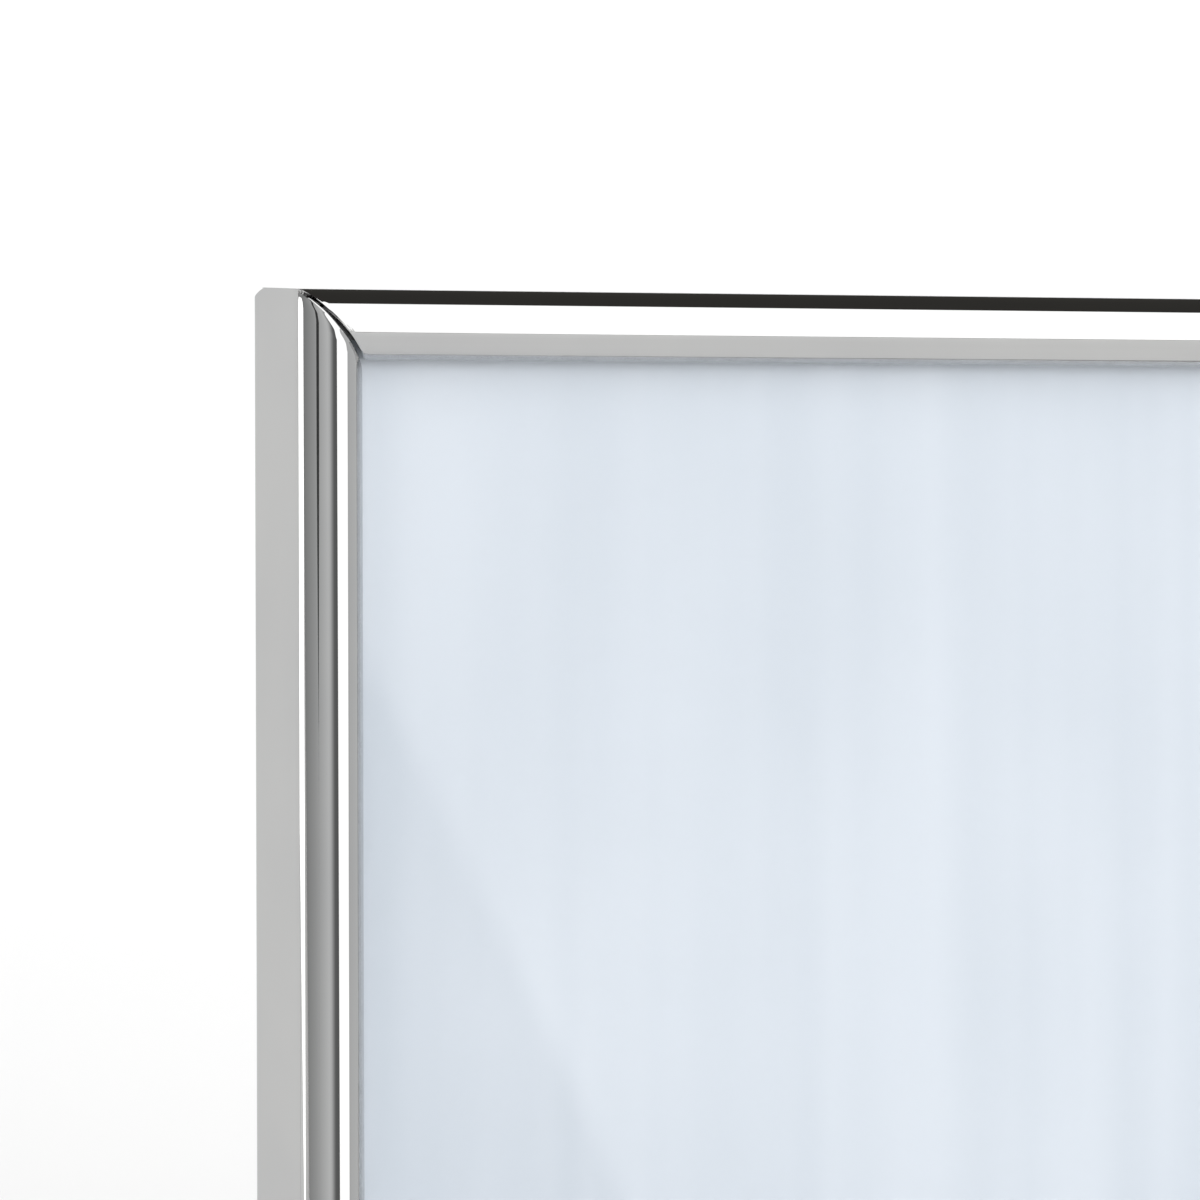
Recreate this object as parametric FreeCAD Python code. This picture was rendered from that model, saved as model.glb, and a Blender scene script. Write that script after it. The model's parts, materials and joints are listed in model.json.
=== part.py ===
import FreeCAD, Part
import math
import os

V = FreeCAD.Vector
ACROSS = V(1, 0, 0)
BACKWARD = V(0, 1, 0)
UPWARD = V(0, 0, 1)

# A small chrome-plated photo frame that leans back on an easel leg.
# It is built upright, in millimetres: X across, Y backward from the front of
# the glass, Z up from the outermost edge of the bottom wall. The last step
# leans it back and sets its origin on the table, under its middle.

# The photo print that the frame takes
photo_width = 130.0
photo_height = 180.0

# The rolled rail, in section
sheet = 0.5
rail_width = 7.0
wall_draft_angle = 2.3
arch_rise = 1.9
arch_crown_share = 0.507
back_bend = 0.8
flange_width = 2.5

# The mitred corners
mitre_gap = 0.4
mitre_gap_depth = 0.5
wall_seam = 0.1
back_corner_radius = 1.7
key_thickness = 0.8
key_leg = 20.0
key_fit = 0.1

# The stack behind the rails, front to back
stack_clearance = 0.4
glass_thickness = 2.0
insert_thickness = 0.3
filler_thickness = 1.5
board_thickness = 3.0
clip_room = 1.5

# Rivets and running fits
running_fit = 0.05
rivet_radius = 1.2
rivet_head_radius = 2.3
rivet_top_radius = 1.5
rivet_head_height = 0.7

# The turn clips
clip_sheet = 0.6
clip_width = 5.4
clip_hub_radius = 3.7
clip_reach = 9.0
clip_tail = 6.4
clip_tab_height = 2.6
clip_inset = 10.2
clip_joggle = 1.8
clip_bend = 0.3
clip_nose_gap = 0.1
clip_short_side_share = 0.3
clip_long_side_share = 0.28

# The easel leg and its hinge
lean_angle = 18.0
hinge_height_share = 0.66
hinge_sheet = 0.6
hinge_bend = 0.2
pin_radius = 0.8
pin_end_length = 0.4
knuckle_width = 8.0
knuckle_gap = 0.2
leaf_lift = 0.1
fixed_leaf_height = 15.0
moving_leaf_height = 21.0
leaf_corner_radius = 2.0
leaf_rivet_spread_share = 0.6
leaf_rivet_height_share = 0.62
arm_width = 5.0
arm_gap = 1.0
arm_offset = 0.3
arm_joggle_shares = (0.8, 0.4)
stop_gap = 0.1
leg_thickness = 3.0
leg_top_gap = 6.5
leg_top_width = 39.0
leg_foot_width = 56.0
leg_corner_radius = 4.0
fold_gap = 0.7

# The hanger at the top
ring_sheet = 1.2
ring_band = 1.6
ring_corner_radius = 1.0
ring_arm = 3.6
ring_side_gap = 0.3
strap_sheet = 0.6
strap_width = 7.0
strap_length = 10.5
strap_corner_radius = 2.5
strap_rivet_share = 0.6
hanger_inset = 14.5
strap_rest_angle = 10.0

# How far a cutting tool reaches past what it cuts
overrun = 2.0

# Sizes that follow, first the stack's from the front of the glass
filler_front = glass_thickness + insert_thickness
board_front = filler_front + filler_thickness
board_back = board_front + board_thickness
wall_depth = board_back + clip_room + sheet

# The wall leans in toward the front, runs into the shoulder at a tangent, and
# the arch carries on from the crown down to the sight edge on the glass. The
# glass stands inside the shoulder, where its front meets the sheet.
wall_draft = math.radians(wall_draft_angle)
crown_z = rail_width * arch_crown_share
leaned_crown = crown_z * math.cos(wall_draft) - (wall_depth + arch_rise) * math.sin(wall_draft)
shoulder_radius = leaned_crown / (1 - math.sin(wall_draft))
shoulder_y = shoulder_radius - arch_rise
arch_radius = ((rail_width - crown_z) ** 2 + arch_rise ** 2) / (2 * arch_rise)
arch_y = arch_radius - arch_rise
rest_height = crown_z - math.sqrt((shoulder_radius - sheet) ** 2 - shoulder_y ** 2)
bend_y = wall_depth - back_bend
bend_z = back_bend * (1 + math.sin(wall_draft)) / math.cos(wall_draft)
outer_width = photo_width + 2 * (rest_height + stack_clearance)
outer_height = photo_height + 2 * (rest_height + stack_clearance)

# Then those of the pieces on the back
rivet_hole_radius = rivet_radius + running_fit
clip_front = board_back + running_fit
knuckle_radius = pin_radius + running_fit + hinge_sheet
pin_y = board_back + leaf_lift + knuckle_radius
pin_z = outer_height * hinge_height_share
hinge_width = 3 * knuckle_width + 2 * knuckle_gap
leaf_half_width = 0.5 * hinge_width + arm_gap + arm_width
barrel_bore = ring_sheet / math.sqrt(2) + running_fit
barrel_radius = barrel_bore + strap_sheet
barrel_y = board_back + barrel_radius
eye_half_width = strap_width / 2 + ring_side_gap
ring_half_width = eye_half_width + ring_band

# The ring swings in from the frame's edge until it hangs plumb.
ring_swing = 180 - lean_angle


def leaned_height(y, z):
    """How high a point stands once the frame leans back on the bend under its wall."""
    lean = math.radians(lean_angle)
    return (bend_y - y) * math.sin(lean) + (z - bend_z) * math.cos(lean) + back_bend


# The folded leg's foot stays above the bottom flange, which sets its length,
# and the leg then stands at the angle at which it just reaches the table.
leg_length = pin_z - flange_width - fold_gap
leg_angle = math.degrees(math.acos(leaned_height(pin_y, pin_z) / leg_length))
opening_angle = lean_angle + leg_angle


def box(low, high):
    size = high - low
    return Part.makeBox(size.x, size.y, size.z, low)


def rod(radius, start, end):
    along = end - start
    return Part.makeCylinder(radius, along.Length, start, along)


def fused(first, *others):
    return first.multiFuse(list(others)).removeSplitter()


def slab(outline, thickness):
    """A plate from points in an XZ plane, thick toward the back."""
    return Part.Face(Part.makePolygon(outline + outline[:1])).extrude(BACKWARD * thickness)


def rounded(solid, radius, is_picked):
    """The solid with its front-to-back edges rounded where is_picked says so."""
    picked = []
    for edge in solid.Edges:
        runs_back = abs(edge.tangentAt(edge.FirstParameter).dot(BACKWARD)) > 0.999
        if runs_back and is_picked(edge.CenterOfMass):
            picked.append(edge)
    return solid.makeFillet(radius, picked)


def middle_of_turn(centre, start, end):
    toward = (start + end) * 0.5 - centre
    return centre + toward.normalize() * (start - centre).Length


def rounded_path(points, radii):
    """Edges along the points, with an arc or a sharp corner at each inner point."""
    edges = []
    start = points[0]
    for before, corner, after, radius in zip(points, points[1:], points[2:], radii):
        if not radius:
            edges.append(Part.makeLine(start, corner))
            start = corner
            continue
        back = (before - corner).normalize()
        ahead = (after - corner).normalize()
        half_angle = back.getAngle(ahead) / 2
        leg = radius / math.tan(half_angle)
        arc_start = corner + back * leg
        arc_end = corner + ahead * leg
        centre = corner + (back + ahead).normalize() * (radius / math.sin(half_angle))
        edges.append(Part.makeLine(start, arc_start))
        edges.append(Part.Arc(arc_start, middle_of_turn(centre, arc_start, arc_end), arc_end).toShape())
        start = arc_end
    edges.append(Part.makeLine(start, points[-1]))
    return edges


def bent_sheet(points, radii, thickness, left, right):
    """Sheet metal whose front face follows points in the YZ plane, from X left to X right."""
    front = Part.Wire(rounded_path([V(left, y, z) for y, z in points], radii))
    section = front.makeOffset2D(thickness, 2, True, True, False)
    return section.extrude(ACROSS * (right - left))


def rail_section():
    """The bottom rail's outside in the YZ plane, from the flange's lip to the sight edge."""
    shoulder_centre = V(0, shoulder_y, crown_z)
    wall_top = shoulder_centre - V(0, math.sin(wall_draft), math.cos(wall_draft)) * shoulder_radius
    crown = V(0, -arch_rise, crown_z)
    sight_edge = V(0, 0, rail_width)
    wall = rounded_path([V(0, wall_depth, flange_width), V(0, wall_depth, 0), wall_top], [back_bend])
    shoulder_middle = middle_of_turn(shoulder_centre, wall_top, crown)
    shoulder = Part.Arc(wall_top, shoulder_middle, crown).toShape()
    arch_middle = middle_of_turn(V(0, arch_y, crown_z), crown, sight_edge)
    arch = Part.Arc(crown, arch_middle, sight_edge).toShape()
    return Part.Wire(wall + [shoulder, arch])


def mitre_block(length, gap, start_y, end_y):
    """What is left of a bottom rail's blank after the saw has cut both ends at 45 degrees."""
    bottom = (length - gap * math.sqrt(2)) / 2
    height = rail_width + overrun
    top = bottom - height
    low = [V(-bottom, start_y, 0), V(bottom, start_y, 0)]
    high = [V(top, start_y, height), V(-top, start_y, height)]
    return slab(low + high, end_y - start_y)


def rail(length):
    """A bottom rail: its joint is a hairline at the wall and an open groove in front."""
    blank = rail_section().makeOffset2D(sheet, 0, True, True, False).extrude(ACROSS * length)
    blank.translate(ACROSS * (-length / 2))
    front_end = mitre_block(length, mitre_gap, -arch_rise - overrun, mitre_gap_depth)
    wall_end = mitre_block(length, wall_seam, mitre_gap_depth, wall_depth + overrun)
    cut = blank.common(fused(front_end, wall_end))
    glass_seat = box(V(-length, 0, rest_height), V(length, overrun, rail_width + overrun))
    cut = cut.cut(glass_seat)
    for side in (-1, 1):
        centre = V(side * (length / 2 - back_corner_radius), wall_depth - back_corner_radius, -overrun)
        corner = box(
            V(min(centre.x, side * length), centre.y, -overrun),
            V(max(centre.x, side * length), wall_depth + overrun, flange_width + overrun),
        )
        keep = rod(back_corner_radius, centre, V(centre.x, centre.y, flange_width + overrun))
        cut = cut.cut(corner.cut(keep))
    return cut


def corner_key():
    """An L inside the hollow rails of the bottom left corner, just in front of the glass."""
    front = -key_fit - key_thickness
    inset = sheet + key_fit
    near = crown_z - math.sqrt((shoulder_radius - inset) ** 2 - (shoulder_y - front) ** 2)
    far = crown_z + math.sqrt((arch_radius - inset) ** 2 - (arch_y - front) ** 2)
    end = near + key_leg
    outline = [
        V(near, front, near),
        V(end, front, near),
        V(end, front, far),
        V(far, front, far),
        V(far, front, end),
        V(near, front, end),
    ]
    return slab(outline, key_thickness)


def side_placement(side):
    """From a bottom side, centred on X, to the side that is named."""
    turn, place = {
        "bottom": (0, V(0, 0, 0)),
        "top": (180, V(0, 0, outer_height)),
        "left": (90, V(-outer_width / 2, 0, outer_height / 2)),
        "right": (-90, V(outer_width / 2, 0, outer_height / 2)),
    }[side]
    return FreeCAD.Placement(place, FreeCAD.Rotation(BACKWARD, turn))


def corner_placement(corner):
    """From a bottom left corner at the origin to the corner that is named."""
    turn, place = {
        "bottom_left": (0, V(-outer_width / 2, 0, 0)),
        "top_left": (90, V(-outer_width / 2, 0, outer_height)),
        "top_right": (180, V(outer_width / 2, 0, outer_height)),
        "bottom_right": (-90, V(outer_width / 2, 0, 0)),
    }[corner]
    return FreeCAD.Placement(place, FreeCAD.Rotation(BACKWARD, turn))


def moved(shape, placement):
    copy = shape.copy()
    copy.Placement = placement.multiply(copy.Placement)
    return copy


def pane(front, thickness):
    """A sheet of the photo's size, standing in the bottom rail."""
    half = photo_width / 2
    return box(V(-half, front, rest_height), V(half, front + thickness, rest_height + photo_height))


def rivet(place, seat):
    """Flush with the front of what it holds, with its head on the seat behind."""
    top = V(place.x, seat, place.z)
    head = Part.makeCone(rivet_head_radius, rivet_top_radius, rivet_head_height, top, BACKWARD)
    return fused(rod(rivet_radius, place, top), head)


def drilled(plate, places, length):
    """The plate with a rivet hole of this length, and a little more, from each place."""
    for place in places:
        plate = plate.cut(rod(rivet_hole_radius, place, place + BACKWARD * (length + overrun)))
    return plate


def clip_places():
    """Where each turn clip is riveted: its side of the frame and how far along it."""
    along_short = outer_width * clip_short_side_share
    along_long = outer_height * clip_long_side_share
    return {
        "clip_top_left": ("top", along_short),
        "clip_top_right": ("top", -along_short),
        "clip_bottom_left": ("bottom", -along_short),
        "clip_bottom_right": ("bottom", along_short),
        "clip_left_upper": ("left", -along_long),
        "clip_left_lower": ("left", along_long),
        "clip_right_upper": ("right", along_long),
        "clip_right_lower": ("right", -along_long),
    }


def clip_pivot(name):
    """The place on the back of the board that a clip turns about."""
    side, along = clip_places()[name]
    return side_placement(side).multVec(V(along, board_back, clip_inset))


def turn_clip():
    """A spring clip on a bottom side, its nose under the flange and its tab turned up."""
    nose_front = wall_depth - sheet - clip_nose_gap - clip_sheet
    points = [
        (nose_front, -clip_reach - overrun),
        (nose_front, -clip_hub_radius - clip_joggle),
        (clip_front, -clip_hub_radius),
        (clip_front, clip_tail),
        (clip_front + clip_tab_height, clip_tail),
    ]
    strip = bent_sheet(points, [0, 0, clip_bend + clip_sheet], clip_sheet, -clip_hub_radius, clip_hub_radius)
    front = V(0, board_back, 0)
    back = V(0, wall_depth + clip_tab_height, 0)
    hub = rod(clip_hub_radius, front, back)
    half = clip_width / 2
    bar = box(V(-half, front.y, -clip_reach), V(half, back.y, clip_tail))
    plan = fused(hub, bar).common(rod(clip_reach, front, back))
    hole = rod(rivet_hole_radius, front, back)
    clip = strip.common(plan).cut(hole)
    clip.translate(UPWARD * clip_inset)
    return clip


def knuckle(start, end):
    """One rolled knuckle of the hinge, with its bore still to be cut."""
    return rod(knuckle_radius, V(start, pin_y, pin_z), V(end, pin_y, pin_z))


def pin_bore():
    return rod(pin_radius + running_fit, V(-hinge_width, pin_y, pin_z), V(hinge_width, pin_y, pin_z))


def leaf_rivet_places(front, level):
    """Two rivets in a row, at this height."""
    spread = hinge_width / 2 * leaf_rivet_spread_share
    return [V(side * spread, front, level) for side in (-1, 1)]


def fixed_rivet_places():
    return leaf_rivet_places(board_front, pin_z + fixed_leaf_height * leaf_rivet_height_share)


def moving_rivet_places():
    level = pin_z - (leg_top_gap + moving_leaf_height) / 2
    return leaf_rivet_places(pin_y - knuckle_radius, level)


def hinge_fixed_leaf():
    """The leaf on the board: two knuckles, rolled at its lower edge."""
    half = hinge_width / 2
    back = board_back + hinge_sheet
    low = pin_z + knuckle_radius + knuckle_gap
    high = pin_z + fixed_leaf_height
    plate = rounded(
        box(V(-half, board_back, low), V(half, back, high)),
        leaf_corner_radius,
        lambda place: place.z > low + leaf_corner_radius,
    )
    solids = []
    for start in (-half, half - knuckle_width):
        solids.append(box(V(start, board_back, pin_z), V(start + knuckle_width, back, low + hinge_sheet)))
        solids.append(knuckle(start, start + knuckle_width))
    leaf = fused(plate, *solids).cut(pin_bore())
    return drilled(leaf, fixed_rivet_places(), back - board_front)


def stop_arm_reach():
    """How far the stop arms pass the pin, so that they meet the board when the leg is open."""
    opening = math.radians(opening_angle)
    room = pin_y - board_back - stop_gap
    return (arm_offset * math.cos(opening) + room) / math.sin(opening)


def hinge_moving_leaf():
    """The leaf on the leg: one knuckle, and two stop arms that pass outside the fixed leaf."""
    front = pin_y - knuckle_radius
    back = front + hinge_sheet
    low = pin_z - moving_leaf_height
    leg_top = pin_z - leg_top_gap
    plate_half = hinge_width / 2 + arm_gap
    wide = rounded(
        box(V(-leaf_half_width, front, low), V(leaf_half_width, back, leg_top)),
        leaf_corner_radius,
        lambda place: place.z < leg_top - leaf_corner_radius,
    )
    middle_top = pin_z - knuckle_radius - knuckle_gap
    middle = box(V(-plate_half, front, leg_top), V(plate_half, back, middle_top))
    half = knuckle_width / 2
    tongue = box(V(-half, front, leg_top), V(half, back, pin_z))
    joggle_low, joggle_high = [pin_z - leg_top_gap * share for share in arm_joggle_shares]
    arm_front = pin_y + arm_offset
    points = [
        (front, leg_top - hinge_sheet),
        (front, joggle_low),
        (arm_front, joggle_high),
        (arm_front, pin_z + stop_arm_reach()),
    ]
    radii = [hinge_bend + hinge_sheet, hinge_bend]
    arms = []
    for start in (-leaf_half_width, plate_half):
        arms.append(bent_sheet(points, radii, hinge_sheet, start, start + arm_width))
    leaf = fused(wide, middle, tongue, knuckle(-half, half), *arms).cut(pin_bore())
    return drilled(leaf, moving_rivet_places(), hinge_sheet)


def hinge_pin():
    end = hinge_width / 2 + pin_end_length
    return rod(pin_radius, V(-end, pin_y, pin_z), V(end, pin_y, pin_z))


def easel_leg():
    """The leg, folded flat and still too long: the table cuts it to length."""
    front = pin_y - knuckle_radius + hinge_sheet
    top = pin_z - leg_top_gap
    foot = pin_z - leg_length - leg_thickness
    half_top = leg_top_width / 2
    half_foot = leg_foot_width / 2
    low = [V(-half_foot, front, foot), V(half_foot, front, foot)]
    high = [V(half_top, front, top), V(-half_top, front, top)]
    blank = slab(low + high, leg_thickness)
    leg = rounded(blank, leg_corner_radius, lambda place: place.z > top - leg_corner_radius)
    return drilled(leg, moving_rivet_places(), hinge_sheet + leg_thickness)


def back_board():
    """Black board of the photo's size, drilled for every rivet that it carries."""
    pivots = [clip_pivot(name) for name in clip_places()]
    places = [V(pivot.x, board_front, pivot.z) for pivot in pivots]
    places += fixed_rivet_places()
    places.append(hanger_rivet_place())
    return drilled(pane(board_front, board_thickness), places, board_thickness)


def hanger_rivet_place():
    level = hanger_inset + strap_length * strap_rivet_share
    return side_placement("top").multVec(V(0, board_front, level))


def hanger_strap():
    """Sheet folded double round the ring's straight leg, on a bottom side."""
    half = strap_width / 2
    back = board_back + 2 * strap_sheet
    end = hanger_inset + strap_length
    plies = rounded(
        box(V(-half, board_back, hanger_inset), V(half, back, end)),
        strap_corner_radius,
        lambda place: place.z > hanger_inset + strap_corner_radius,
    )
    start = V(-half, barrel_y, hanger_inset)
    barrel = rod(barrel_radius, start, start + ACROSS * strap_width)
    bore = rod(barrel_bore, start - ACROSS * overrun, start + ACROSS * (strap_width + overrun))
    hole_place = V(0, board_front, hanger_inset + strap_length * strap_rivet_share)
    return drilled(fused(plies, barrel).cut(bore), [hole_place], back - board_front)


def d_blank(half_width, inside):
    """A flat D on a bottom side, from this far inside the axle out to its bow."""
    front = barrel_y - ring_sheet / 2
    back = barrel_y + ring_sheet / 2
    bow = hanger_inset - ring_arm
    straight = box(V(-half_width, front, bow), V(half_width, back, hanger_inset + inside))
    outside = box(V(-half_width, front, bow - half_width), V(half_width, back, bow))
    return fused(straight, rod(half_width, V(0, front, bow), V(0, back, bow)).common(outside))


def hanger_ring():
    """A D stamped from sheet, on a bottom side. With no swing it would point out to the edge."""
    bar_half = ring_sheet / 2
    eye = d_blank(eye_half_width, -bar_half)
    ring = rounded(
        d_blank(ring_half_width, bar_half).cut(eye),
        ring_corner_radius,
        lambda place: place.z > hanger_inset,
    )
    ring.rotate(V(0, barrel_y, hanger_inset), ACROSS, ring_swing)
    return ring


def on_frame():
    """Every piece of the frame, upright: node name to the list of its solids."""
    nodes = {}
    for side, length in zip(("bottom", "top", "left", "right"), [outer_width] * 2 + [outer_height] * 2):
        nodes["rail_" + side] = [moved(rail(length), side_placement(side))]
    for corner in ("bottom_left", "bottom_right", "top_left", "top_right"):
        nodes["corner_key_" + corner] = [moved(corner_key(), corner_placement(corner))]
    nodes["glass_pane"] = [pane(0, glass_thickness)]
    nodes["insert_sheet"] = [pane(glass_thickness, insert_thickness)]
    nodes["filler_card"] = [pane(filler_front, filler_thickness)]
    nodes["back_board"] = [back_board()]

    nodes["clip_rivets"] = []
    clip_seat = clip_front + clip_sheet + running_fit
    for name, (side, along) in clip_places().items():
        clip = turn_clip()
        clip.translate(ACROSS * along)
        nodes[name] = [moved(clip, side_placement(side))]
        pivot = clip_pivot(name)
        nodes["clip_rivets"].append(rivet(V(pivot.x, board_front, pivot.z), clip_seat))

    nodes["hinge_fixed_leaf"] = [hinge_fixed_leaf()]
    nodes["hinge_pin"] = [hinge_pin()]
    nodes["hinge_rivets"] = [rivet(place, board_back + hinge_sheet) for place in fixed_rivet_places()]

    nodes["hanger_strap"] = [moved(hanger_strap(), side_placement("top"))]
    nodes["hanger_rivet"] = [rivet(hanger_rivet_place(), board_back + 2 * strap_sheet)]
    nodes["hanger_ring"] = [moved(hanger_ring(), side_placement("top"))]
    return nodes


def on_leg():
    """The leg, its leaf and their rivets, folded flat against the board."""
    leg_back = pin_y - knuckle_radius + hinge_sheet + leg_thickness
    return {
        "easel_leg": [easel_leg()],
        "hinge_moving_leaf": [hinge_moving_leaf()],
        "leg_rivets": [rivet(place, leg_back) for place in moving_rivet_places()],
    }


def leaned_placement():
    """Leans the frame back on the bend under its back wall, which then rests on the table."""
    turn = FreeCAD.Rotation(ACROSS, -lean_angle)
    origin_height = leaned_height(0, 0)
    return FreeCAD.Placement(V(0, 0, origin_height), turn)


def opened_placement():
    """Swings the leg about the pin, from flat on the board to its stop."""
    turn = FreeCAD.Rotation(ACROSS, opening_angle)
    return FreeCAD.Placement(V(0, 0, 0), turn, V(0, pin_y, pin_z))


def standing_nodes():
    """All the pieces as they stand on the table, before the origin is set."""
    lean = leaned_placement()
    nodes = {}
    for name, solids in on_frame().items():
        nodes[name] = [moved(solid, lean) for solid in solids]
    leg_pose = lean.multiply(opened_placement())
    for name, solids in on_leg().items():
        nodes[name] = [moved(solid, leg_pose) for solid in solids]
    reach = outer_height
    under_table = box(V(-reach, -reach, -reach), V(reach, 2 * reach, 0))
    nodes["easel_leg"] = [solid.cut(under_table) for solid in nodes["easel_leg"]]
    return nodes


def centred_placement(nodes):
    """Moves the part so that its origin is on the table, under the middle of its box."""
    everything = Part.makeCompound([solid for solids in nodes.values() for solid in solids])
    bounds = everything.optimalBoundingBox(False, False)
    return FreeCAD.Placement(V(0, -bounds.Center.y, 0), FreeCAD.Rotation())


nodes = standing_nodes()
to_origin = centred_placement(nodes)
frame_to_part = to_origin.multiply(leaned_placement())
os.makedirs("parts", exist_ok=True)
for name, shapes in nodes.items():
    solids = [moved(solid, to_origin) for shape in shapes for solid in shape.Solids]
    piece = solids[0] if len(solids) == 1 else Part.makeCompound(solids)
    piece.exportStep("parts/" + name + ".step")
print(len(nodes), "nodes, leg angle", round(leg_angle, 2), "opening", round(opening_angle, 2))
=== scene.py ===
import json
import math

import bpy
from mathutils import Matrix, Vector

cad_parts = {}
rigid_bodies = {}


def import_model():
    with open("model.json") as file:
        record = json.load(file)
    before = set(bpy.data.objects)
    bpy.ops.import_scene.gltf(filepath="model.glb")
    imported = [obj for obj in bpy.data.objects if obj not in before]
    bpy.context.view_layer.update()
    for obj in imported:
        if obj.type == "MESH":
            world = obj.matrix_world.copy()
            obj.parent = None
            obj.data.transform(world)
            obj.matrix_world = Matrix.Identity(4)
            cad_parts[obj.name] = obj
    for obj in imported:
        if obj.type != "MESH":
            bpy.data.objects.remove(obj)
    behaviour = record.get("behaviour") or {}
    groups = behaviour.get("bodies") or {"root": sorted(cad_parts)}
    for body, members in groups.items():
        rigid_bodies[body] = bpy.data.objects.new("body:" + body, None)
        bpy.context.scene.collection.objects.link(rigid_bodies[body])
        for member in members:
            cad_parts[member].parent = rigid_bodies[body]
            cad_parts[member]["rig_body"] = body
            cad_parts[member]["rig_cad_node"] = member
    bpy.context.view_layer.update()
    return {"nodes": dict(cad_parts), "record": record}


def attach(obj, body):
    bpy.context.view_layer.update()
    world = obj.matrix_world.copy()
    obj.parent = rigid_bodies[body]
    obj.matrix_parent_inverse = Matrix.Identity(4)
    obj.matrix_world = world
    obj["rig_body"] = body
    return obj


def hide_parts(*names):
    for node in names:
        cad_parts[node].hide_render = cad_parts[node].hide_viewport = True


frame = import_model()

mm = 0.001
deg = math.pi / 180

# The frame is drawn upright, in millimetres: X across, Y back from the glass,
# Z up from the bottom wall. Then it leans back, as the CAD does.
stance = {"lean": 18.0, "back": -36.1016, "up": 2.48012, "width": 133.1098, "height": 183.1098}
lean = stance["lean"] * deg
standing = (
    Matrix.Translation((0, stance["back"] * mm, stance["up"] * mm))
    @ Matrix.Rotation(-lean, 4, "X")
    @ Matrix.Scale(mm, 4)
)
frameUp = Vector((0, math.sin(lean), math.cos(lean)))
frameFront = Vector((0, -math.cos(lean), math.sin(lean)))

# Every rail is drawn as the bottom one, and turned to its side
sides = {
    "bottom": Matrix.Identity(4),
    "top": Matrix.Translation((0, 0, stance["height"])) @ Matrix.Rotation(math.pi, 4, "Y"),
}
for name, way in (("left", -1), ("right", 1)):
    middle = Matrix.Translation((way * stance["width"] / 2, 0, stance["height"] / 2))
    sides[name] = middle @ Matrix.Rotation(-way * math.pi / 2, 4, "Y")


def facing(across, upward, toward):
    return Matrix((across, upward, toward)).transposed().to_4x4()


# Camera: fitted to the rails of the photograph, 30 degrees to the frame's left.
# Its place is kept as the frame's top left corner, seen from it in millimetres.
view = {
    "lens": 360.0, "sensor": 36.0, "near": 0.01, "far": 50.0,
    "yaw": 30.0, "pitch": 0.05, "roll": 0.16,
    "corner": (-28.50, 29.64, -1128.65),
}


def aimCamera():
    turn = (
        Matrix.Rotation(view["roll"] * deg, 3, "Z")
        @ Matrix.Rotation(view["pitch"] * deg, 3, "X")
        @ Matrix.Rotation(view["yaw"] * deg, 3, "Y")
    )
    across, upward, toward = [
        row[0] * Vector((1, 0, 0)) + row[1] * frameUp + row[2] * frameFront for row in turn
    ]
    corner = standing @ Vector((-stance["width"] / 2, 0, stance["height"]))
    x, y, z = [value * mm for value in view["corner"]]
    place = corner - x * across - y * upward - z * toward
    bpy.ops.object.camera_add()
    camera = bpy.context.object
    camera.name = "photoCamera"
    camera.matrix_world = Matrix.Translation(place) @ facing(across, upward, toward)
    camera.data.lens = view["lens"]
    camera.data.sensor_width = view["sensor"]
    camera.data.clip_start = view["near"]
    camera.data.clip_end = view["far"]
    bpy.context.scene.camera = camera


# Editing helpers
def deselect():
    if bpy.context.mode != "OBJECT":
        bpy.ops.object.mode_set(mode="OBJECT")
    bpy.ops.object.select_all(action="DESELECT")


def activate(piece):
    deselect()
    piece.select_set(True)
    bpy.context.view_layer.objects.active = piece


def startPiece(name):
    piece = bpy.context.object
    piece.name = name
    bpy.ops.object.transform_apply(location=True, rotation=True, scale=True)
    bpy.ops.object.mode_set(mode="EDIT")
    bpy.ops.mesh.select_all(action="DESELECT")
    return piece


def pick(piece, isPicked, kind="VERT"):
    bpy.ops.mesh.select_mode(type=kind)
    bpy.ops.mesh.select_all(action="DESELECT")
    bpy.ops.object.mode_set(mode="OBJECT")
    mesh = piece.data
    if kind == "VERT":
        for vertex in mesh.vertices:
            vertex.select = isPicked(vertex.co)
    else:
        for face in mesh.polygons:
            face.select = isPicked(face)
    bpy.ops.object.mode_set(mode="EDIT")


def spinOn(angle, centre, steps):
    bpy.ops.mesh.spin(steps=steps, angle=angle, center=centre, axis=(1, 0, 0))


def cutAcross(place, normal, clear=False, fill=False):
    bpy.ops.mesh.bisect(plane_co=place, plane_no=normal, clear_outer=clear, use_fill=fill)


def addModifier(piece, kind, **settings):
    modifier = piece.modifiers.new(kind.title(), kind)
    for key, value in settings.items():
        setattr(modifier, key, value)
    activate(piece)
    bpy.ops.object.modifier_apply(modifier=modifier.name)


def smoothBy(piece, angle):
    activate(piece)
    bpy.ops.object.shade_smooth_by_angle(angle=angle * deg)


# Breaks the edges that turn by more than "over" degrees, then smooths by angle.
# The weighted normals keep large flat faces evenly shaded up to their edges.
def breakEdges(piece, edge, unit=1):
    addModifier(
        piece, "BEVEL", width=edge["width"] * unit, segments=edge["segments"],
        limit_method="ANGLE", angle_limit=edge["over"] * deg,
    )
    smoothBy(piece, edge["smooth"])
    addModifier(piece, "WEIGHTED_NORMAL", keep_sharp=True)


def copyOf(piece, name, matrix):
    copy = piece.copy()
    copy.data = piece.data.copy()
    copy.name = name
    copy.data.transform(matrix)
    bpy.context.collection.objects.link(copy)
    return copy


def dress(piece, material):
    piece.data.materials.clear()
    piece.data.materials.append(material)


def finishPiece(piece, material, slot, body, *nodes):
    dress(piece, material)
    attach(piece, body)
    if nodes:
        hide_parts(*nodes)


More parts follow.
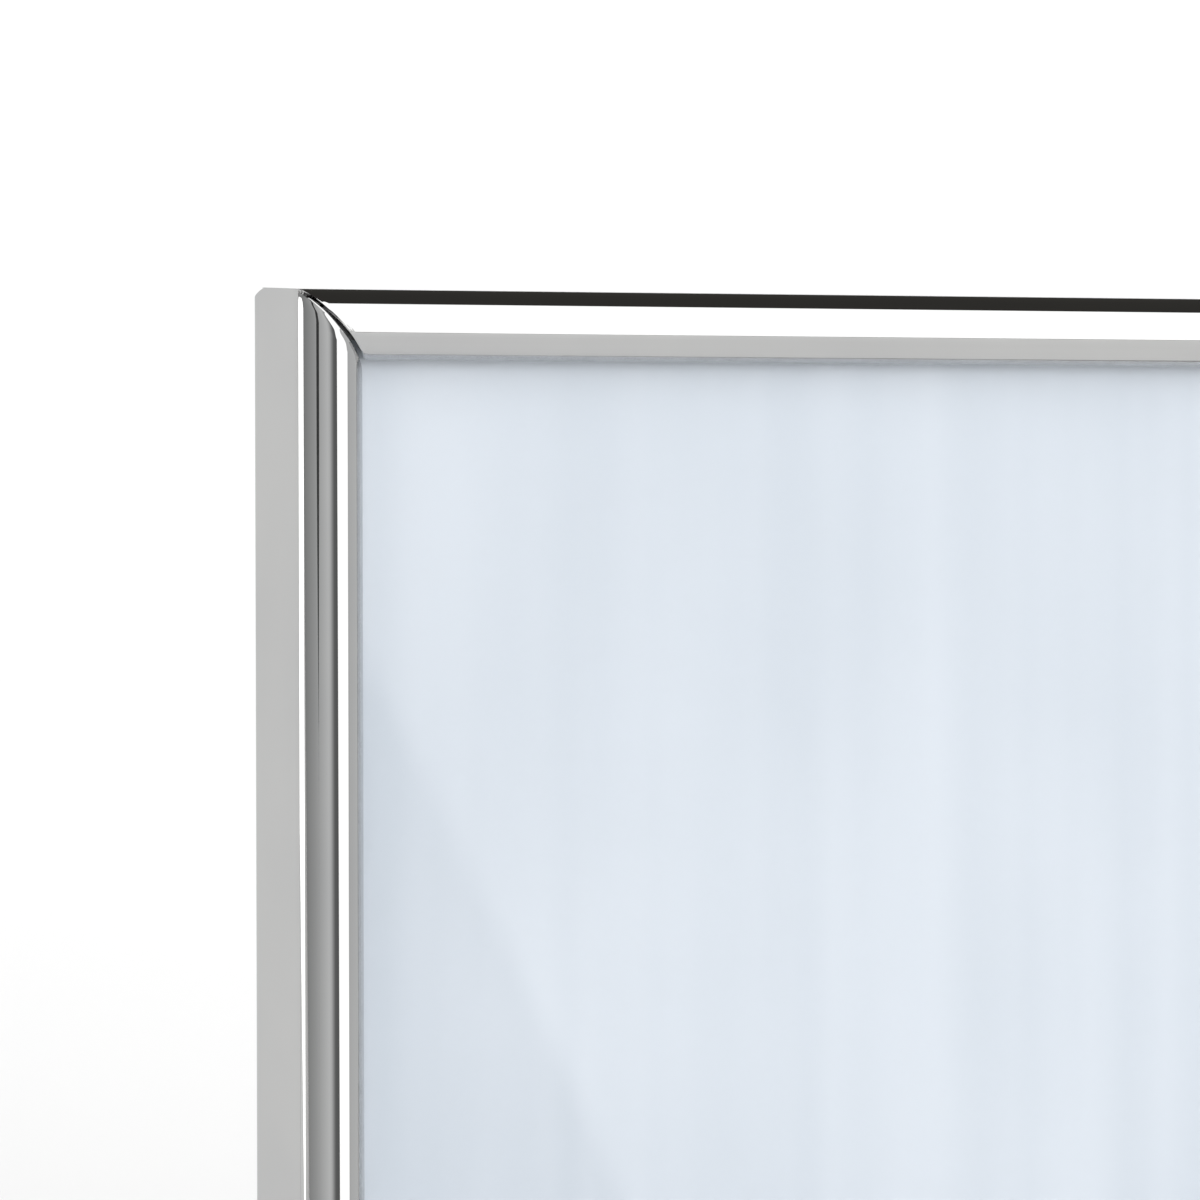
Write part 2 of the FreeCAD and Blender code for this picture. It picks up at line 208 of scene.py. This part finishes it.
# Shader helpers: scales are noise cells per metre, spans are the noise values
# between which a colour or a roughness runs, bumps are a strength and metres
def newMaterial(name, settings):
    material = bpy.data.materials.new(name)
    material.use_nodes = True
    shader = material.node_tree.nodes["Principled BSDF"]
    for key, value in settings.items():
        shader.inputs[key].default_value = value
    return material, material.node_tree, shader


# Inputs are given by their names, or as i0, i1 and so on by their numbers
def node(tree, kind, settings=None, **inputs):
    made = tree.nodes.new(kind)
    for key, value in (settings or {}).items():
        setattr(made, key, value)
    for key, value in inputs.items():
        isNumber = key[0] == "i" and key[1:].isdigit()
        socket = made.inputs[int(key[1:]) if isNumber else key]
        if isinstance(value, bpy.types.NodeSocket):
            tree.links.new(value, socket)
        else:
            socket.default_value = value
    return made


def uprightCoords(tree, scale=(1, 1, 1)):
    place = node(tree, "ShaderNodeTexCoord")
    return node(
        tree, "ShaderNodeMapping", {"vector_type": "TEXTURE"},
        Vector=place.outputs["Object"],
        Rotation=(-lean, 0, 0),
        Scale=tuple(1 / value for value in scale),
    ).outputs[0]


def noise(tree, coords, scale, detail, roughness=0.5):
    return node(
        tree, "ShaderNodeTexNoise",
        Vector=coords, Scale=scale, Detail=detail, Roughness=roughness,
    ).outputs[0]


def ramp(tree, factor, stops):
    made = node(tree, "ShaderNodeValToRGB", Fac=factor)
    elements = made.color_ramp.elements
    while len(elements) < len(stops):
        elements.new(0.5)
    for element, (place, colour) in zip(elements, stops):
        element.position = place
        element.color = (*colour, 1)
    return made.outputs[0]


def mapTo(tree, value, low, high, newLow, newHigh):
    return node(
        tree, "ShaderNodeMapRange", Value=value,
        i1=low, i2=high, i3=newLow, i4=newHigh,
    ).outputs[0]


def combine(tree, operation, a, b=0.0):
    return node(tree, "ShaderNodeMath", {"operation": operation}, i0=a, i1=b).outputs[0]


def tint(tree, shader, factor, span, dark, light):
    colour = ramp(tree, factor, [(span[0], dark), (span[1], light)])
    tree.links.new(colour, shader.inputs["Base Color"])


def roughen(tree, shader, factor, span, least, most):
    tree.links.new(mapTo(tree, factor, *span, least, most), shader.inputs["Roughness"])


def bump(tree, shader, height, strength, distance):
    made = node(tree, "ShaderNodeBump", Height=height, Strength=strength, Distance=distance)
    tree.links.new(made.outputs[0], shader.inputs["Normal"])


# Materials
def platedMaterial():
    look = {
        "colour": (0.505, 0.505, 0.50), "dim": (0.475, 0.475, 0.475),
        "cloudScale": 40, "cloudSpan": (0.35, 0.65),
        "polish": 0.025, "haze": 0.05, "speckScale": 900, "speckSpan": (0.4, 0.75),
        "waveScale": 60, "waveBump": (0.05, 0.00002),
    }
    material, tree, shader = newMaterial("platedRail", {"Metallic": 1.0})
    coords = uprightCoords(tree)
    cloud = noise(tree, coords, look["cloudScale"], detail=3)
    tint(tree, shader, cloud, look["cloudSpan"], look["dim"], look["colour"])
    speck = noise(tree, coords, look["speckScale"], detail=2)
    roughen(tree, shader, speck, look["speckSpan"], look["polish"], look["haze"])
    bump(tree, shader, noise(tree, coords, look["waveScale"], detail=1), *look["waveBump"])
    return material


# The fittings' metals share one build: "grain" is how much finer the brushed
# lines are along each axis, "spread" the least and most of the roughness
fittingLook = {
    "cloudScale": 220, "cloudSpan": (0.3, 0.7),
    "lineScale": 900, "lineSpan": (0.3, 0.8), "spread": (0.7, 1.4), "lineBump": (0.05, 0.00001),
}
fittingMetals = {
    "clipSteel": {
        "colour": (0.56, 0.56, 0.57), "dim": (0.46, 0.46, 0.47), "rough": 0.28, "grain": (1, 1, 6),
    },
    "hingeMetal": {
        "colour": (0.60, 0.585, 0.55), "dim": (0.50, 0.49, 0.46), "rough": 0.22, "grain": (6, 1, 1),
    },
    "rivetMetal": {
        "colour": (0.62, 0.62, 0.62), "dim": (0.52, 0.52, 0.52), "rough": 0.25, "grain": (1, 1, 1),
    },
    "keyMetal": {
        "colour": (0.30, 0.30, 0.31), "dim": (0.22, 0.22, 0.23), "rough": 0.4, "grain": (4, 1, 1),
    },
}


def fittingMaterial(name):
    look, metal = fittingLook, fittingMetals[name]
    material, tree, shader = newMaterial(name, {"Metallic": 1.0})
    cloud = noise(tree, uprightCoords(tree), look["cloudScale"], detail=4)
    tint(tree, shader, cloud, look["cloudSpan"], metal["dim"], metal["colour"])
    lines = noise(tree, uprightCoords(tree, metal["grain"]), look["lineScale"], detail=3)
    least, most = [metal["rough"] * part for part in look["spread"]]
    roughen(tree, shader, lines, look["lineSpan"], least, most)
    bump(tree, shader, lines, *look["lineBump"])
    return material


# The paper has its own even pale blue. The streaks and clouds between "deep" and "pale" are a painted
# reflection.
def insertMaterial():
    look = {
        "deep": (0.432, 0.462, 0.509), "pale": (0.478, 0.505, 0.551),
        "streakScale": 120, "streakGrain": (1, 1, 0.03), "cloudScale": 18,
        "sumSpan": (0.7, 1.3), "colourSpan": (0.2, 0.8),
        "toothScale": 2500, "toothBump": (0.04, 0.00002),
    }
    material, tree, shader = newMaterial(
        "blankPaper", {"Roughness": 0.55, "Specular IOR Level": 0.3},
    )
    # Painted reflection: vertical streaks and clouds in the paper's colour stand in for the mottled
    # reflection on the glossy sheet
    reflectionStreak = noise(tree, uprightCoords(tree, look["streakGrain"]), look["streakScale"], detail=2)
    cloud = noise(tree, uprightCoords(tree), look["cloudScale"], detail=2)
    reflectionMottle = mapTo(tree, combine(tree, "ADD", reflectionStreak, cloud), *look["sumSpan"], 0, 1)
    tint(tree, shader, reflectionMottle, look["colourSpan"], look["deep"], look["pale"])
    tooth = noise(tree, uprightCoords(tree), look["toothScale"], detail=3)
    bump(tree, shader, tooth, *look["toothBump"])
    return material


# Clear from both sides, with a reflection on the outer faces only
def glassMaterial():
    look = {
        "clear": (0.99, 0.995, 0.995, 1), "index": 1.45,
        "smearScale": 30, "smearSpan": (0.4, 0.8), "polish": 0.02, "haze": 0.06,
    }
    material = bpy.data.materials.new("clearGlass")
    material.use_nodes = True
    tree = material.node_tree
    tree.nodes.clear()
    clear = node(tree, "ShaderNodeBsdfTransparent", Color=look["clear"])
    smear = noise(tree, uprightCoords(tree), look["smearScale"], detail=3)
    rough = mapTo(tree, smear, *look["smearSpan"], look["polish"], look["haze"])
    gloss = node(tree, "ShaderNodeBsdfGlossy", Roughness=rough)
    edge = node(tree, "ShaderNodeFresnel", i0=look["index"]).outputs[0]
    inner = node(tree, "ShaderNodeNewGeometry").outputs["Backfacing"]
    shine = mapTo(tree, inner, 0, 1, edge, 0)
    mixed = node(tree, "ShaderNodeMixShader", i0=shine, i1=clear.outputs[0], i2=gloss.outputs[0])
    out = node(tree, "ShaderNodeOutputMaterial")
    tree.links.new(mixed.outputs[0], out.inputs["Surface"])
    return material


def velourMaterial():
    look = {
        "deep": (0.007, 0.007, 0.008), "pile": (0.034, 0.034, 0.037), "span": (0.15, 0.36),
        "pileScale": 1500, "pileBump": (0.6, 0.0002), "brushedScale": 60,
    }
    material, tree, shader = newMaterial("blackVelour", {
        "Roughness": 0.92,
        "Sheen Weight": 0.35, "Sheen Roughness": 0.5, "Sheen Tint": (0.6, 0.6, 0.65, 1),
    })
    coords = uprightCoords(tree)
    pile = noise(tree, coords, look["pileScale"], detail=5, roughness=0.7)
    brushed = noise(tree, coords, look["brushedScale"], detail=3)
    nap = combine(tree, "MULTIPLY", pile, brushed)
    tint(tree, shader, nap, look["span"], look["deep"], look["pile"])
    bump(tree, shader, pile, *look["pileBump"])
    return material


def cardMaterial():
    look = {
        "dark": (0.21, 0.20, 0.18), "light": (0.30, 0.285, 0.26),
        "fleckScale": 1800, "fleckSpan": (0.35, 0.65), "fleckBump": (0.2, 0.00005),
    }
    material, tree, shader = newMaterial("greyCard", {"Roughness": 0.85})
    fleck = noise(tree, uprightCoords(tree), look["fleckScale"], detail=4)
    tint(tree, shader, fleck, look["fleckSpan"], look["dark"], look["light"])
    bump(tree, shader, fleck, *look["fleckBump"])
    return material


# Rails: one sheet, turned over the back bend, up the drawn wall, round the
# shoulder and down the arch to the glass. In front of "gapDepth" the mitre is
# an open groove, "gap" wide at its outer and its inner end. Behind it is a fine
# seam. The groove's edges are rolled in, each step of a roll a reach and a drop,
# and the back corners are rounded as an ellipse, "corner" along and inward.
railSizes = {
    "sheet": 0.5, "width": 7.0, "depth": 8.8, "draft": 2.3, "rise": 1.9, "crown": 3.549,
    "shoulder": 3.24704, "arch": 4.08405, "flange": 2.5, "restBend": 0.8, "freeBend": 0.5,
    "gap": (0.48, 0.26), "seam": (0.1, 0.1), "gapDepth": 0.5, "corner": (1.7, 3.5),
    "sideRoll": ((1.1, 0.08), (0.55, 0.12)), "shortRoll": ((0.4, 0.05),), "rollDepth": 0.2,
    "wallParts": (0.015, 0.97, 0.015),
    "steps": {"bend": 16, "shoulder": 44, "arch": 30, "roll": 15, "corner": 12},
    "near": {"foldLine": 0.01, "joined": 0.001, "mitre": 0.005},
    "edge": {"width": 0.05, "segments": 2, "over": 50, "smooth": 40},
}


def mitrePlane(length, side, gap, offset=0.0):
    outer, inner = [width / math.sqrt(2) for width in gap]
    start = length / 2 - outer - offset * math.sqrt(2)
    normal = Vector((side * railSizes["width"], 0, railSizes["width"] + inner - outer))
    return (side * start, 0, 0), normal.normalized()


def foldSheet(length, bend):
    s = railSizes
    draft = s["draft"] * deg
    low = bend * (1 + math.sin(draft)) / math.cos(draft)
    middle = (0, s["depth"], (s["flange"] + low) / 2)
    bpy.ops.mesh.primitive_plane_add(size=1, location=middle, rotation=(math.pi / 2, 0, 0))
    bpy.context.object.scale = (length, s["flange"] - low, 1)
    rail = startPiece("railBlank")
    pick(rail, lambda co: co.z < low + s["near"]["foldLine"])
    turn = (90 + s["draft"]) * deg
    spinOn(turn, (0, s["depth"] - bend, low), s["steps"]["bend"])
    bendEnd = Vector((0, s["depth"] - bend - bend * math.sin(draft), low - bend * math.cos(draft)))
    shoulderCentre = Vector((0, s["shoulder"] - s["rise"], s["crown"]))
    wallTop = shoulderCentre - Vector((0, math.sin(draft), math.cos(draft))) * s["shoulder"]
    for part in s["wallParts"]:
        step = (wallTop - bendEnd) * part
        bpy.ops.mesh.extrude_region_move(TRANSFORM_OT_translate={"value": step})
    spinOn(turn, shoulderCentre, s["steps"]["shoulder"])
    archTurn = math.asin((s["width"] - s["crown"]) / s["arch"])
    spinOn(archTurn, (0, s["arch"] - s["rise"], s["crown"]), s["steps"]["arch"])
    bpy.ops.mesh.select_all(action="SELECT")
    bpy.ops.mesh.remove_doubles(threshold=s["near"]["joined"])
    return rail


# Saws the mitre, adds fine cuts beside it for the roll and rounds the corner
def sawEnd(rail, length, side, rollWidth):
    s = railSizes
    steps = s["steps"]
    for isFront, gap in ((True, s["gap"]), (False, s["seam"])):
        pick(rail, lambda face: (face.center.y < s["gapDepth"]) == isFront, "FACE")
        cutAcross(*mitrePlane(length, side, gap), clear=True)
    for step in range(1, steps["roll"] + 2):
        pick(rail, lambda face: face.center.y < s["gapDepth"], "FACE")
        offset = step * rollWidth / steps["roll"]
        cutAcross(*mitrePlane(length, side, s["gap"], offset))
    along, inward = s["corner"]
    for step in range(steps["corner"]):
        angle = (step + 0.5) / steps["corner"] * math.pi / 2
        outward = Vector((side * inward * math.sin(angle), along * math.cos(angle), 0))
        place = (
            side * (length / 2 - along + along * math.sin(angle)),
            s["depth"] - inward + inward * math.cos(angle),
            0,
        )
        bpy.ops.mesh.select_all(action="SELECT")
        cutAcross(place, outward.normalized(), clear=True)


def turnOutward(rail):
    bpy.ops.mesh.select_mode(type="FACE")
    bpy.ops.mesh.select_all(action="SELECT")
    bpy.ops.mesh.normals_make_consistent(inside=False)
    bpy.ops.object.mode_set(mode="OBJECT")
    crest = Vector((0, -railSizes["rise"], railSizes["crown"]))
    front = min(rail.data.polygons, key=lambda face: (face.center - crest).length)
    isInsideOut = front.normal.y > 0
    bpy.ops.object.mode_set(mode="EDIT")
    if isInsideOut:
        bpy.ops.mesh.flip_normals()


def rollMitre(rail, length, roll):
    s = railSizes
    place, normal = mitrePlane(length, 1, s["gap"])

    def onMitre(co):
        apart = (Vector((abs(co.x), co.y, co.z)) - Vector(place)).dot(normal)
        return co.y < s["rollDepth"] and abs(apart) < s["near"]["mitre"]

    pick(rail, onMitre)
    for reach, drop in roll:
        bpy.ops.transform.shrink_fatten(
            value=-drop, use_even_offset=False,
            use_proportional_edit=True, use_proportional_connected=True,
            proportional_edit_falloff="SHARP", proportional_size=reach,
        )


# The sheet gets its thickness last, and the arch's edge is cut flat on the glass
def drawRail(length, roll, bend):
    s = railSizes
    rail = foldSheet(length, bend)
    cutAcross((0, s["gapDepth"], 0), (0, 1, 0))
    for side in (-1, 1):
        sawEnd(rail, length, side, roll[0][0])
    turnOutward(rail)
    rollMitre(rail, length, roll)
    bpy.ops.object.mode_set(mode="OBJECT")
    addModifier(rail, "SOLIDIFY", thickness=s["sheet"], offset=-1)
    bpy.ops.object.mode_set(mode="EDIT")
    pick(rail, lambda face: face.center.z > s["crown"] and face.center.y < s["sheet"], "FACE")
    cutAcross((0, 0, 0), (0, 1, 0), clear=True, fill=True)
    bpy.ops.object.mode_set(mode="OBJECT")
    breakEdges(rail, s["edge"])
    return rail


def makeRails(material):
    pairs = (
        (stance["width"], "shortRoll", "restBend", ("bottom",)),
        (stance["width"], "shortRoll", "freeBend", ("top",)),
        (stance["height"], "sideRoll", "freeBend", ("left", "right")),
    )
    for length, roll, bend, names in pairs:
        deselect()
        blank = drawRail(length, railSizes[roll], railSizes[bend])
        for name in names:
            rail = copyOf(blank, "polishedRail" + name.title(), standing @ sides[name])
            finishPiece(rail, material, "plated_rail", "frame", "rail_" + name)
        bpy.data.objects.remove(blank)
    print("rails made")


# Glass and insert: panes of the photo's size, a hair apart so that neither shows through
paneSizes = {
    "width": 130.0, "height": 180.0, "low": 1.1549, "segments": 2, "smooth": 30,
    "glass": {"front": 0.0, "thick": 1.97, "ground": 0.12},
    "insert": {"front": 2.03, "thick": 0.24, "ground": 0.05},
}


def makePane(name, sizes, material, slot, cadName):
    s = paneSizes
    deselect()
    middle = (0, sizes["front"] + sizes["thick"] / 2, s["low"] + s["height"] / 2)
    bpy.ops.mesh.primitive_cube_add(size=1, location=middle)
    bpy.context.object.scale = (s["width"], sizes["thick"], s["height"])
    pane = startPiece(name)
    bpy.ops.mesh.select_all(action="SELECT")
    bpy.ops.mesh.bevel(offset=sizes["ground"], segments=s["segments"], affect="EDGES")
    bpy.ops.object.mode_set(mode="OBJECT")
    pane.data.transform(standing)
    smoothBy(pane, s["smooth"])
    finishPiece(pane, material, slot, "frame", cadName)


# Fittings: the CAD's own forms with their facets joined, then their edges broken
# or, on the rivets, the heads domed. Widths are in millimetres, turns in degrees.
fittingSizes = {
    "joined": 0.002, "flat": 1,
    "edge": {"width": 0.08, "segments": 2, "over": 35, "smooth": 30},
    "boardEdge": {"width": 0.3, "segments": 2, "over": 35, "smooth": 30},
    "dome": {"width": 0.31, "segments": 5, "over": 25, "smooth": 40},
}


def makeFitting(name, suffix, edge, material, slot, body):
    s = fittingSizes
    piece = copyOf(frame["nodes"][name], name + suffix, Matrix.Identity(4))
    piece.parent = None
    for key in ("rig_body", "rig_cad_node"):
        del piece[key]
    activate(piece)
    bpy.ops.object.mode_set(mode="EDIT")
    bpy.ops.mesh.select_all(action="SELECT")
    bpy.ops.mesh.remove_doubles(threshold=s["joined"] * mm)
    bpy.ops.mesh.dissolve_limited(angle_limit=s["flat"] * deg)
    bpy.ops.object.mode_set(mode="OBJECT")
    breakEdges(piece, s[edge], mm)
    finishPiece(piece, material, slot, body, name)


# Studio: the lamps light the insert, the floor and the back, and no mirror shows
# them. The strip is a bright line in the rails, and its bearing is degrees to the
# frame's left of straight ahead, as seen from a point on the frame.
studio = {
    "floor": {
        "size": 8.0, "dark": (0.79,) * 3, "light": (0.81,) * 3, "cloudScale": 3, "cloudSpan": (0.3, 0.7),
    },
    "lamps": [
        {"name": "ceilingPanel", "place": (0, 2.2, 2.6), "aim": (0, 2.2, 0), "size": 4.0, "radiance": 1.53},
        {"name": "frontPanel", "place": (0.0, -2.35, 0.96), "aim": (0, 0, 0.1), "size": 2.0, "radiance": 3.0},
    ],
    "strip": {
        "seenFrom": (-0.25, 0.7), "bearing": 110.0, "width": 20.4, "distance": 0.75,
        "length": 1.2, "below": 0.2, "strength": 2.2,
    },
}


def makeFloor():
    s = studio["floor"]
    deselect()
    bpy.ops.mesh.primitive_plane_add(size=s["size"])
    floor = bpy.context.object
    floor.name = "paleFloor"
    material, tree, shader = newMaterial(
        "paleFloor", {"Roughness": 0.9, "Specular IOR Level": 0.1},
    )
    coords = node(tree, "ShaderNodeTexCoord").outputs["Object"]
    cloud = noise(tree, coords, s["cloudScale"], detail=2)
    tint(tree, shader, cloud, s["cloudSpan"], s["dark"], s["light"])
    floor.data.materials.append(material)


def makeLamps():
    for lamp in studio["lamps"]:
        place = Vector(lamp["place"])
        bpy.ops.object.light_add(type="AREA", location=place)
        made = bpy.context.object
        made.name = lamp["name"]
        made.data.size = lamp["size"]
        made.data.energy = lamp["radiance"] * math.pi * lamp["size"] ** 2
        made.rotation_euler = (place - Vector(lamp["aim"])).to_track_quat("Z", "Y").to_euler()
        made.visible_glossy = False
        made.visible_camera = False


def makeStrip():
    s = studio["strip"]
    x, z = s["seenFrom"]
    seenFrom = standing @ Vector((stance["width"] * x, 0, stance["height"] * z))
    bearing = s["bearing"] * deg
    outward = -math.sin(bearing) * Vector((1, 0, 0)) + math.cos(bearing) * frameFront
    centre = seenFrom + outward * s["distance"] + frameUp * (s["length"] / 2 - s["below"])
    bpy.ops.object.light_add(type="AREA")
    made = bpy.context.object
    made.name = "stripLeft"
    made.data.shape = "RECTANGLE"
    made.data.size = 2 * s["distance"] * math.tan(s["width"] / 2 * deg)
    made.data.size_y = s["length"]
    made.data.energy = s["strength"] * math.pi * made.data.size * s["length"]
    made.matrix_world = Matrix.Translation(centre) @ facing(outward.cross(frameUp), frameUp, outward)
    made.visible_camera = False
    made.visible_diffuse = False


# What the polished rails mirror: bearings are degrees to the frame's right of
# straight ahead, brightness 1 is the white sweep, and planes bound the softbox.
# The roof lies over the softbox's last plane, and ends to the left at "left".
# Each "soft" is the width over which an outline fades.
backdrop = {
    "around": [
        (-180, 0.95), (-122, 1.1), (-101, 0.48), (-97, 0.37), (-60, 0.56), (-14.8, 0.90),
        (-8, 0.80), (0, 0.43), (5.8, 0.21), (16, 0.17), (50, 0.72), (60, 0.80), (145, 0.95), (180, 0.95),
    ],
    "redPart": 0.99,
    "low": {"light": (0.97, 0.95, 0.92), "from": -9.0, "to": -6.0},
    "stand": {
        "bearing": -48.0, "half": 4.6, "low": -0.75, "high": 0.7, "light": (0.07,) * 3, "soft": (-0.2, 0.4),
    },
    "softbox": {
        "light": (2.15,) * 3, "soft": (-0.008, 0.008),
        "sides": [(0.781, 0.566, -0.2615), (-0.599, 0.18, 0.780), (0, -0.3633, 0.9317)],
    },
    "roof": {"light": (0.052, 0.050, 0.046), "from": 0.03, "soft": 0.02, "left": (-0.75, -0.6)},
}


def makeWorld():
    world = bpy.data.worlds.new("studio")
    bpy.context.scene.world = world
    world.use_nodes = True
    tree = world.node_tree
    shader = tree.nodes["Background"]
    way = node(tree, "ShaderNodeTexCoord").outputs["Generated"]

    def along(x, up, front):
        axis = Vector((x, 0, 0)) + up * frameUp + front * frameFront
        made = node(tree, "ShaderNodeVectorMath", {"operation": "DOT_PRODUCT"}, i0=way, i1=tuple(axis))
        return made.outputs["Value"]

    def over(below, colour, factor):
        mixed = node(tree, "ShaderNodeMix", {"data_type": "RGBA"}, i0=factor)
        tree.links.new(below, mixed.inputs[6])
        mixed.inputs[7].default_value = (*colour, 1)
        return mixed.outputs[2]

    right = along(1, 0, 0)
    bearing = combine(tree, "DIVIDE", combine(tree, "ARCTAN2", right, along(0, 0, 1)), deg)
    level = combine(tree, "DIVIDE", combine(tree, "ARCSINE", along(0, 1, 0)), deg)
    stops = [
        ((at + 180) / 360, (light * backdrop["redPart"], light, light))
        for at, light in backdrop["around"]
    ]
    shown = ramp(tree, mapTo(tree, bearing, -180, 180, 0, 1), stops)

    low = backdrop["low"]
    shown = over(shown, low["light"], mapTo(tree, level, low["from"], low["to"], 1, 0))

    stand = backdrop["stand"]
    halfWidth = mapTo(tree, level, stand["low"], stand["high"], 0, stand["half"])
    aside = combine(tree, "ABSOLUTE", combine(tree, "SUBTRACT", bearing, stand["bearing"]))
    inStand = mapTo(tree, combine(tree, "SUBTRACT", halfWidth, aside), *stand["soft"], 0, 1)
    shown = over(shown, stand["light"], inStand)

    box = backdrop["softbox"]
    within = [mapTo(tree, along(*side), *box["soft"], 0, 1) for side in box["sides"]]
    inBox = combine(tree, "MULTIPLY", combine(tree, "MULTIPLY", within[0], within[1]), within[2])
    shown = over(shown, box["light"], inBox)

    roof = backdrop["roof"]
    height = node(tree, "ShaderNodeSeparateXYZ", i0=way).outputs[2]
    above = mapTo(tree, height, roof["from"] - roof["soft"], roof["from"], 0, 1)
    inRoof = combine(tree, "MULTIPLY", combine(tree, "SUBTRACT", 1.0, within[2]), above)
    inRoof = combine(tree, "MULTIPLY", inRoof, mapTo(tree, right, *roof["left"], 0, 1))
    shown = over(shown, roof["light"], inRoof)
    tree.links.new(shown, shader.inputs["Color"])


aimCamera()
makeFloor()
makeLamps()
makeStrip()
makeWorld()
print("studio made")

plated = platedMaterial()
clipSteel, hingeMetal, rivetMetal, keyMetal = [fittingMaterial(name) for name in fittingMetals]
velour = velourMaterial()

makeRails(plated)

makePane("clearPane", paneSizes["glass"], glassMaterial(), "clear_glass", "glass_pane")
makePane("blankInsert", paneSizes["insert"], insertMaterial(), "blank_paper", "insert_sheet")

# The card and the corner keys are shut inside, and keep the CAD's meshes
dress(frame["nodes"]["filler_card"], cardMaterial())
for name, cad in frame["nodes"].items():
    if name.startswith("corner_key"):
        dress(cad, keyMetal)
print("panes made")

bodies = frame["record"]["behaviour"]["bodies"]
bodyOf = {member: body for body, members in bodies.items() for member in members}
clips = [name for name in frame["nodes"] if name.startswith("clip_") and name != "clip_rivets"]
hinge = ["hinge_fixed_leaf", "hinge_moving_leaf", "hinge_pin"]
rivets = ["clip_rivets", "hinge_rivets", "hanger_rivet", "leg_rivets"]
for names, suffix, edge, material, slot in (
    (clips, "Finished", "edge", clipSteel, "clip_steel"),
    (["back_board", "easel_leg"], "Finished", "boardEdge", velour, "black_board"),
    (hinge, "Finished", "edge", hingeMetal, "hinge_metal"),
    (["hanger_strap", "hanger_ring"], "Finished", "edge", hingeMetal, "hanger_metal"),
    (rivets, "Domed", "dome", rivetMetal, "rivet_metal"),
):
    for name in names:
        makeFitting(name, suffix, edge, material, slot, bodyOf[name])
print("fittings made")

bpy.context.scene.view_settings.view_transform = "Standard"
